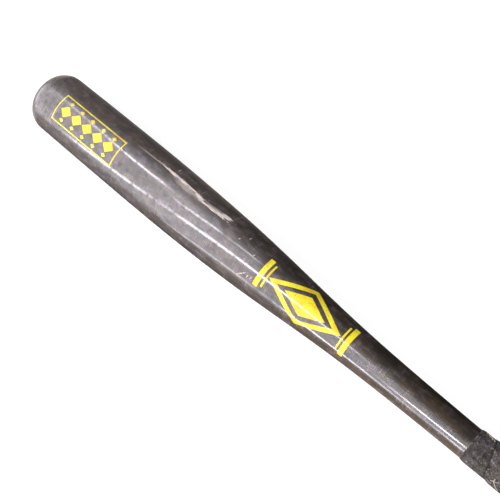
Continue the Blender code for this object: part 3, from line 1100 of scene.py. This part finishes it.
for name, (narrow, wide, places) in TUBES.items():
    tube = start_from(bpy.ops.mesh.primitive_grid_add, "tube_" + name, size=2, **steps)
    glow = tube.data.attributes.new("glow", "FLOAT", "POINT")
    xs, thetas, strengths = zip(*places)
    for vertex in tube.data.vertices:
        x = xs[0] + (xs[-1] - xs[0]) * (vertex.co.x + 1) / 2
        width = np.interp(x, WIDTH_PLACES, (narrow, wide))
        theta = np.interp(x, xs, thetas) + vertex.co.y * width / 2
        vertex.co = rolled(x, math.radians(theta), TUBE_RADIUS)
        glow.data[vertex.index].value = max(np.interp(x, xs, strengths), screen_glow(x, theta))
    tubes.append(tube)
print("tubes:", [tube.name for tube in tubes])

# %% Light the screen and the tubes
LAMP_WHITE = (1.0, 0.965, 1.045, 1.0)
FLOOR_BROWN = (1.1, 0.82, 0.62, 1.0)
# They show in the bat's gloss and do nothing else
for sheet in (screen, *tubes):
    sheet.visible_camera = False
    sheet.visible_diffuse = False
    sheet.visible_transmission = False
    sheet.visible_shadow = False
    sheet.visible_volume_scatter = False
screen_sheet, tree = new_material("screen_sheet")
strength = add_node(tree, "ShaderNodeAttribute", {"attribute_name": "glow"}).outputs["Fac"]
warmth = add_node(tree, "ShaderNodeAttribute", {"attribute_name": "tint"}).outputs["Fac"]
hue = add_node(tree, "ShaderNodeMix", COLOURS, _0=warmth, _6=LAMP_WHITE, _7=FLOOR_BROWN)
emission = add_node(tree, "ShaderNodeEmission", Color=hue, Strength=strength)
screen_sheet.cycles.emission_sampling = "NONE"
finish_pieces([screen, *tubes], screen_sheet, emission)

# %% [markdown]
# ### The floor and the light
#
# The bat lies on white paper. Paper alone would come out grey towards the edges of the picture, so the
# camera sees dim paper with an even glow added, and the light on the bat comes off plain paper. The
# surroundings are white to the camera and in the gloss, and give less than half of that as light. One large
# softbox gives the shadow.

# %% Lay the floor
# Where the paper touches the barrel and the knob: metres along X, and height
FLOOR_AT_BARREL = (-0.78, -0.03268)
FLOOR_AT_KNOB = (-0.009, -0.02543)
PAPER = (0.8, 0.8, 0.8, 1.0)
SHOWN_PAPER = (0.3, 0.3, 0.3, 1.0)
PAPER_GLOW = 0.89
slope = (FLOOR_AT_KNOB[1] - FLOOR_AT_BARREL[1]) / (FLOOR_AT_KNOB[0] - FLOOR_AT_BARREL[0])
floor_z = FLOOR_AT_BARREL[1] - slope * FLOOR_AT_BARREL[0]
floor = start_from(bpy.ops.mesh.primitive_plane_add, "floor", size=40)
for vertex in floor.data.vertices:
    vertex.co.z = floor_z + slope * vertex.co.x
floor.visible_glossy = False
white_floor, tree = new_material("white_floor_paper")
rays = add_node(tree, "ShaderNodeLightPath").outputs
bounce = add_node(tree, "ShaderNodeBsdfDiffuse", Color=PAPER)
shown = add_node(tree, "ShaderNodeBsdfDiffuse", Color=SHOWN_PAPER)
lift = add_node(tree, "ShaderNodeEmission", Strength=PAPER_GLOW)
white = add_node(tree, "ShaderNodeAddShader", _0=shown, _1=lift)
mix = add_node(tree, "ShaderNodeMixShader", _0=rays["Is Camera Ray"], _1=bounce, _2=white)
finish_pieces([floor], white_floor, mix)

# %% Light the studio
WHITE = (1, 1, 1, 1)
FILL_STRENGTH = 0.38
world = bpy.data.worlds.new("white_studio")
bpy.context.scene.world = world
world.use_nodes = True
world.cycles.sampling_method = "NONE"
tree = world.node_tree
tree.nodes.clear()
rays = add_node(tree, "ShaderNodeLightPath").outputs
clear = rays["Is Camera Ray"]
for kind in ("Is Glossy Ray", "Is Transmission Ray"):
    clear = add_node(tree, "ShaderNodeMath", LARGER, _0=clear, _1=rays[kind])
fill = add_node(tree, "ShaderNodeBackground", Color=WHITE, Strength=FILL_STRENGTH)
white = add_node(tree, "ShaderNodeBackground", Color=WHITE, Strength=1.0)
mix = add_node(tree, "ShaderNodeMixShader", _0=clear, _1=fill, _2=white)
add_node(tree, "ShaderNodeOutputWorld", Surface=mix)
print("fill from all round:", FILL_STRENGTH)

# %% Hang the softbox
KEY_SIZE = 1.6
KEY_WATTS = 66.0
KEY_PLACE = Vector((-0.88, -1.68, 1.25))
KEY_AIM = Vector((-0.45, 0, 0))
key = bpy.data.objects.new("key_softbox", bpy.data.lights.new("key_softbox", "AREA"))
bpy.context.scene.collection.objects.link(key)
key.data.shape = "SQUARE"
key.data.size = KEY_SIZE
key.data.energy = KEY_WATTS
key.location = KEY_PLACE
key.rotation_euler = (KEY_AIM - KEY_PLACE).to_track_quat("-Z", "Y").to_euler()
key.visible_glossy = False
print("softbox", round((KEY_AIM - KEY_PLACE).length, 2), "m away")

# %% [markdown]
# ## The bat's one body
#
# Nothing on a bat moves, so all its pieces ride one body.

# %% Put every piece on the bat's one body
pieces = (bat, anchor, strip, threads, barrel_print, taper_print)
for piece in pieces:
    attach(piece, "root")
print("pieces on the bat:", len(pieces))
